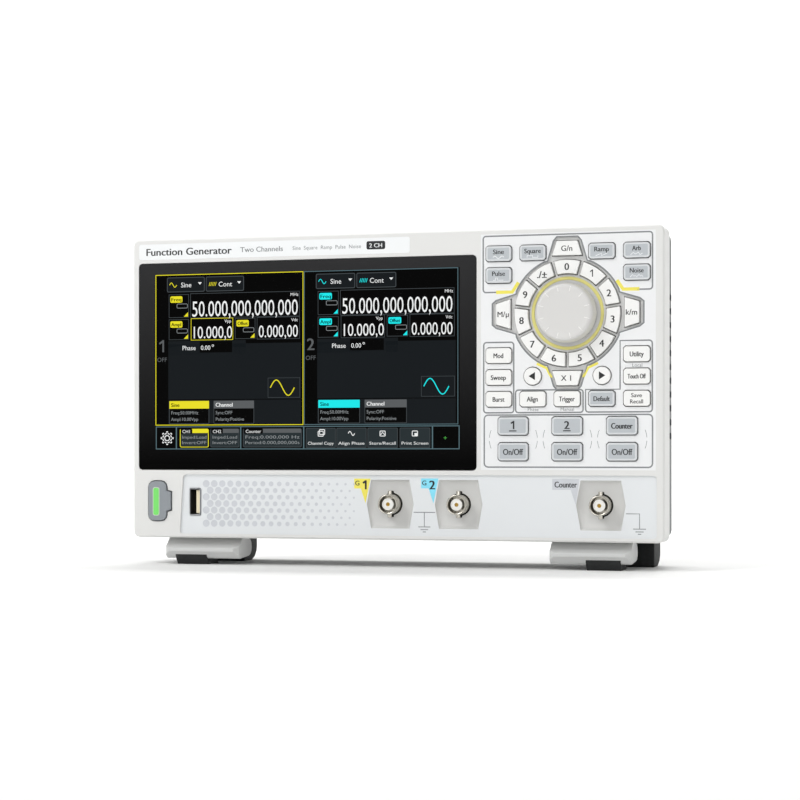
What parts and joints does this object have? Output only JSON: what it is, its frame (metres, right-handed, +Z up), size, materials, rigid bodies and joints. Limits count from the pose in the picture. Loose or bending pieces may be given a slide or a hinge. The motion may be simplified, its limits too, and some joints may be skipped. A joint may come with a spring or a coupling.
{
  "type": "function generator",
  "caption": "Compact bench function generator with touch screen, keypad round a push knob, coaxial front jacks, tapered rear cover and fold-out front legs.",
  "frame": {"origin": "on the surface it stands on, under the middle of the box round the whole object", "axes": "+X to the right seen from the front, -Y out of the front face, +Z up"},
  "size_m": [0.2654, 0.077, 0.1618],
  "materials": {
    "white_shell": "fine moulded texture, light warm grey",
    "dark_shell": "moulded texture, dark grey",
    "white_key": "satin",
    "grey_key": "satin",
    "power_key": "satin",
    "knob_plastic": "satin",
    "screen_glass": "polished, black behind",
    "display": "lit display picture",
    "panel_film": "printed film",
    "print_dark": "screen print",
    "print_grey": "screen print",
    "print_yellow": "screen print",
    "print_blue": "screen print",
    "lamp_green": "lit light guide",
    "silicone": "matte",
    "circuit_board": "solder mask",
    "plated_steel": "tin plated",
    "nickel": "nickel plated",
    "gold_contact": "gold plated",
    "dielectric": "white insulator",
    "leg_plastic": "moulded",
    "foot_rubber": "matte",
    "black_plastic": "moulded",
    "screw_steel": "black oxide"
  },
  "bodies": {
    "instrument": {"bnc_counter": "nickel", "bnc_output_1": "nickel", "bnc_output_2": "nickel", "cooling_fan": "black_plastic", "dc_inlet": "black_plastic", "encoder_body": "plated_steel", "front_bezel": "white_shell", "key_mat": "silicone", "keypad_board": "circuit_board", "lan_jack": "plated_steel", "lcd_module": "plated_steel", "main_board": "circuit_board", "rear_cover": "dark_shell", "rear_foot_left": "foot_rubber", "rear_foot_right": "foot_rubber", "touch_glass": "screen_glass", "usb_host_port": "plated_steel"},
    "encoder": {"encoder_shaft": "plated_steel"},
    "knob": {"knob": "knob_plastic"},
    "leg_left": {"tilt_leg_left": "leg_plastic"},
    "leg_right": {"tilt_leg_right": "leg_plastic"},
    "key_align": {"key_align": "white_key"},
    "key_arbitrary": {"key_arbitrary": "grey_key"},
    "key_arrow_left": {"key_arrow_left": "white_key"},
    "key_arrow_right": {"key_arrow_right": "white_key"},
    "key_burst": {"key_burst": "white_key"},
    "key_channel_1": {"key_channel_1": "grey_key"},
    "key_channel_2": {"key_channel_2": "grey_key"},
    "key_counter": {"key_counter": "grey_key"},
    "key_counter_on": {"key_counter_on": "grey_key"},
    "key_default": {"key_default": "grey_key"},
    "key_digit_0": {"key_digit_0": "white_key"},
    "key_digit_1": {"key_digit_1": "white_key"},
    "key_digit_2": {"key_digit_2": "white_key"},
    "key_digit_3": {"key_digit_3": "white_key"},
    "key_digit_4": {"key_digit_4": "white_key"},
    "key_digit_5": {"key_digit_5": "white_key"},
    "key_digit_6": {"key_digit_6": "white_key"},
    "key_digit_7": {"key_digit_7": "white_key"},
    "key_digit_8": {"key_digit_8": "white_key"},
    "key_digit_9": {"key_digit_9": "white_key"},
    "key_giga_nano": {"key_giga_nano": "white_key"},
    "key_kilo_milli": {"key_kilo_milli": "white_key"},
    "key_mega_micro": {"key_mega_micro": "white_key"},
    "key_mod": {"key_mod": "white_key"},
    "key_noise": {"key_noise": "grey_key"},
    "key_output_1": {"key_output_1": "grey_key"},
    "key_output_2": {"key_output_2": "grey_key"},
    "key_point_sign": {"key_point_sign": "white_key"},
    "key_power": {"key_power": "power_key"},
    "key_pulse": {"key_pulse": "grey_key"},
    "key_ramp": {"key_ramp": "grey_key"},
    "key_save_recall": {"key_save_recall": "white_key"},
    "key_sine": {"key_sine": "grey_key"},
    "key_square": {"key_square": "grey_key"},
    "key_sweep": {"key_sweep": "white_key"},
    "key_touch_lock": {"key_touch_lock": "white_key"},
    "key_trigger": {"key_trigger": "white_key"},
    "key_unit_x1": {"key_unit_x1": "white_key"},
    "key_utility": {"key_utility": "white_key"}
  },
  "joints": [
    {"name": "press_knob", "type": "slide", "parent": "instrument", "child": "encoder", "axis": [0, 1, 0], "range_m": [0, 0.0006], "stiffness_N_per_m": 5000},
    {"name": "turn_knob", "type": "hinge", "parent": "encoder", "child": "knob", "pos_m": [0.087, -0.03452, 0.1212], "axis": [0, 1, 0], "continuous": true},
    {"name": "fold_leg_left", "type": "hinge", "parent": "instrument", "child": "leg_left", "pos_m": [-0.0972, -0.01132, 0.0084], "axis": [1, 0, 0], "range_deg": [0, 90]},
    {"name": "fold_leg_right", "type": "hinge", "parent": "instrument", "child": "leg_right", "pos_m": [0.0972, -0.01132, 0.0084], "axis": [1, 0, 0], "range_deg": [0, 90]},
    {"name": "press_align", "type": "slide", "parent": "instrument", "child": "key_align", "axis": [0, 1, 0], "range_m": [0, 0.001], "stiffness_N_per_m": 1500},
    {"name": "press_arbitrary", "type": "slide", "parent": "instrument", "child": "key_arbitrary", "axis": [0, 1, 0], "range_m": [0, 0.001], "stiffness_N_per_m": 1500},
    {"name": "press_arrow_left", "type": "slide", "parent": "instrument", "child": "key_arrow_left", "axis": [0, 1, 0], "range_m": [0, 0.001], "stiffness_N_per_m": 1500},
    {"name": "press_arrow_right", "type": "slide", "parent": "instrument", "child": "key_arrow_right", "axis": [0, 1, 0], "range_m": [0, 0.001], "stiffness_N_per_m": 1500},
    {"name": "press_burst", "type": "slide", "parent": "instrument", "child": "key_burst", "axis": [0, 1, 0], "range_m": [0, 0.001], "stiffness_N_per_m": 1500},
    {"name": "press_channel_1", "type": "slide", "parent": "instrument", "child": "key_channel_1", "axis": [0, 1, 0], "range_m": [0, 0.001], "stiffness_N_per_m": 1500},
    {"name": "press_channel_2", "type": "slide", "parent": "instrument", "child": "key_channel_2", "axis": [0, 1, 0], "range_m": [0, 0.001], "stiffness_N_per_m": 1500},
    {"name": "press_counter", "type": "slide", "parent": "instrument", "child": "key_counter", "axis": [0, 1, 0], "range_m": [0, 0.001], "stiffness_N_per_m": 1500},
    {"name": "press_counter_on", "type": "slide", "parent": "instrument", "child": "key_counter_on", "axis": [0, 1, 0], "range_m": [0, 0.001], "stiffness_N_per_m": 1500},
    {"name": "press_default", "type": "slide", "parent": "instrument", "child": "key_default", "axis": [0, 1, 0], "range_m": [0, 0.001], "stiffness_N_per_m": 1500},
    {"name": "press_digit_0", "type": "slide", "parent": "instrument", "child": "key_digit_0", "axis": [0, 1, 0], "range_m": [0, 0.001], "stiffness_N_per_m": 1500},
    {"name": "press_digit_1", "type": "slide", "parent": "instrument", "child": "key_digit_1", "axis": [0, 1, 0], "range_m": [0, 0.001], "stiffness_N_per_m": 1500},
    {"name": "press_digit_2", "type": "slide", "parent": "instrument", "child": "key_digit_2", "axis": [0, 1, 0], "range_m": [0, 0.001], "stiffness_N_per_m": 1500},
    {"name": "press_digit_3", "type": "slide", "parent": "instrument", "child": "key_digit_3", "axis": [0, 1, 0], "range_m": [0, 0.001], "stiffness_N_per_m": 1500},
    {"name": "press_digit_4", "type": "slide", "parent": "instrument", "child": "key_digit_4", "axis": [0, 1, 0], "range_m": [0, 0.001], "stiffness_N_per_m": 1500},
    {"name": "press_digit_5", "type": "slide", "parent": "instrument", "child": "key_digit_5", "axis": [0, 1, 0], "range_m": [0, 0.001], "stiffness_N_per_m": 1500},
    {"name": "press_digit_6", "type": "slide", "parent": "instrument", "child": "key_digit_6", "axis": [0, 1, 0], "range_m": [0, 0.001], "stiffness_N_per_m": 1500},
    {"name": "press_digit_7", "type": "slide", "parent": "instrument", "child": "key_digit_7", "axis": [0, 1, 0], "range_m": [0, 0.001], "stiffness_N_per_m": 1500},
    {"name": "press_digit_8", "type": "slide", "parent": "instrument", "child": "key_digit_8", "axis": [0, 1, 0], "range_m": [0, 0.001], "stiffness_N_per_m": 1500},
    {"name": "press_digit_9", "type": "slide", "parent": "instrument", "child": "key_digit_9", "axis": [0, 1, 0], "range_m": [0, 0.001], "stiffness_N_per_m": 1500},
    {"name": "press_giga_nano", "type": "slide", "parent": "instrument", "child": "key_giga_nano", "axis": [0, 1, 0], "range_m": [0, 0.001], "stiffness_N_per_m": 1500},
    {"name": "press_kilo_milli", "type": "slide", "parent": "instrument", "child": "key_kilo_milli", "axis": [0, 1, 0], "range_m": [0, 0.001], "stiffness_N_per_m": 1500},
    {"name": "press_mega_micro", "type": "slide", "parent": "instrument", "child": "key_mega_micro", "axis": [0, 1, 0], "range_m": [0, 0.001], "stiffness_N_per_m": 1500},
    {"name": "press_mod", "type": "slide", "parent": "instrument", "child": "key_mod", "axis": [0, 1, 0], "range_m": [0, 0.001], "stiffness_N_per_m": 1500},
    {"name": "press_noise", "type": "slide", "parent": "instrument", "child": "key_noise", "axis": [0, 1, 0], "range_m": [0, 0.001], "stiffness_N_per_m": 1500},
    {"name": "press_output_1", "type": "slide", "parent": "instrument", "child": "key_output_1", "axis": [0, 1, 0], "range_m": [0, 0.001], "stiffness_N_per_m": 1500},
    {"name": "press_output_2", "type": "slide", "parent": "instrument", "child": "key_output_2", "axis": [0, 1, 0], "range_m": [0, 0.001], "stiffness_N_per_m": 1500},
    {"name": "press_point_sign", "type": "slide", "parent": "instrument", "child": "key_point_sign", "axis": [0, 1, 0], "range_m": [0, 0.001], "stiffness_N_per_m": 1500},
    {"name": "press_power", "type": "slide", "parent": "instrument", "child": "key_power", "axis": [0, 1, 0], "range_m": [0, 0.001], "stiffness_N_per_m": 1500},
    {"name": "press_pulse", "type": "slide", "parent": "instrument", "child": "key_pulse", "axis": [0, 1, 0], "range_m": [0, 0.001], "stiffness_N_per_m": 1500},
    {"name": "press_ramp", "type": "slide", "parent": "instrument", "child": "key_ramp", "axis": [0, 1, 0], "range_m": [0, 0.001], "stiffness_N_per_m": 1500},
    {"name": "press_save_recall", "type": "slide", "parent": "instrument", "child": "key_save_recall", "axis": [0, 1, 0], "range_m": [0, 0.001], "stiffness_N_per_m": 1500},
    {"name": "press_sine", "type": "slide", "parent": "instrument", "child": "key_sine", "axis": [0, 1, 0], "range_m": [0, 0.001], "stiffness_N_per_m": 1500},
    {"name": "press_square", "type": "slide", "parent": "instrument", "child": "key_square", "axis": [0, 1, 0], "range_m": [0, 0.001], "stiffness_N_per_m": 1500},
    {"name": "press_sweep", "type": "slide", "parent": "instrument", "child": "key_sweep", "axis": [0, 1, 0], "range_m": [0, 0.001], "stiffness_N_per_m": 1500},
    {"name": "press_touch_lock", "type": "slide", "parent": "instrument", "child": "key_touch_lock", "axis": [0, 1, 0], "range_m": [0, 0.001], "stiffness_N_per_m": 1500},
    {"name": "press_trigger", "type": "slide", "parent": "instrument", "child": "key_trigger", "axis": [0, 1, 0], "range_m": [0, 0.001], "stiffness_N_per_m": 1500},
    {"name": "press_unit_x1", "type": "slide", "parent": "instrument", "child": "key_unit_x1", "axis": [0, 1, 0], "range_m": [0, 0.001], "stiffness_N_per_m": 1500},
    {"name": "press_utility", "type": "slide", "parent": "instrument", "child": "key_utility", "axis": [0, 1, 0], "range_m": [0, 0.001], "stiffness_N_per_m": 1500}
  ]
}
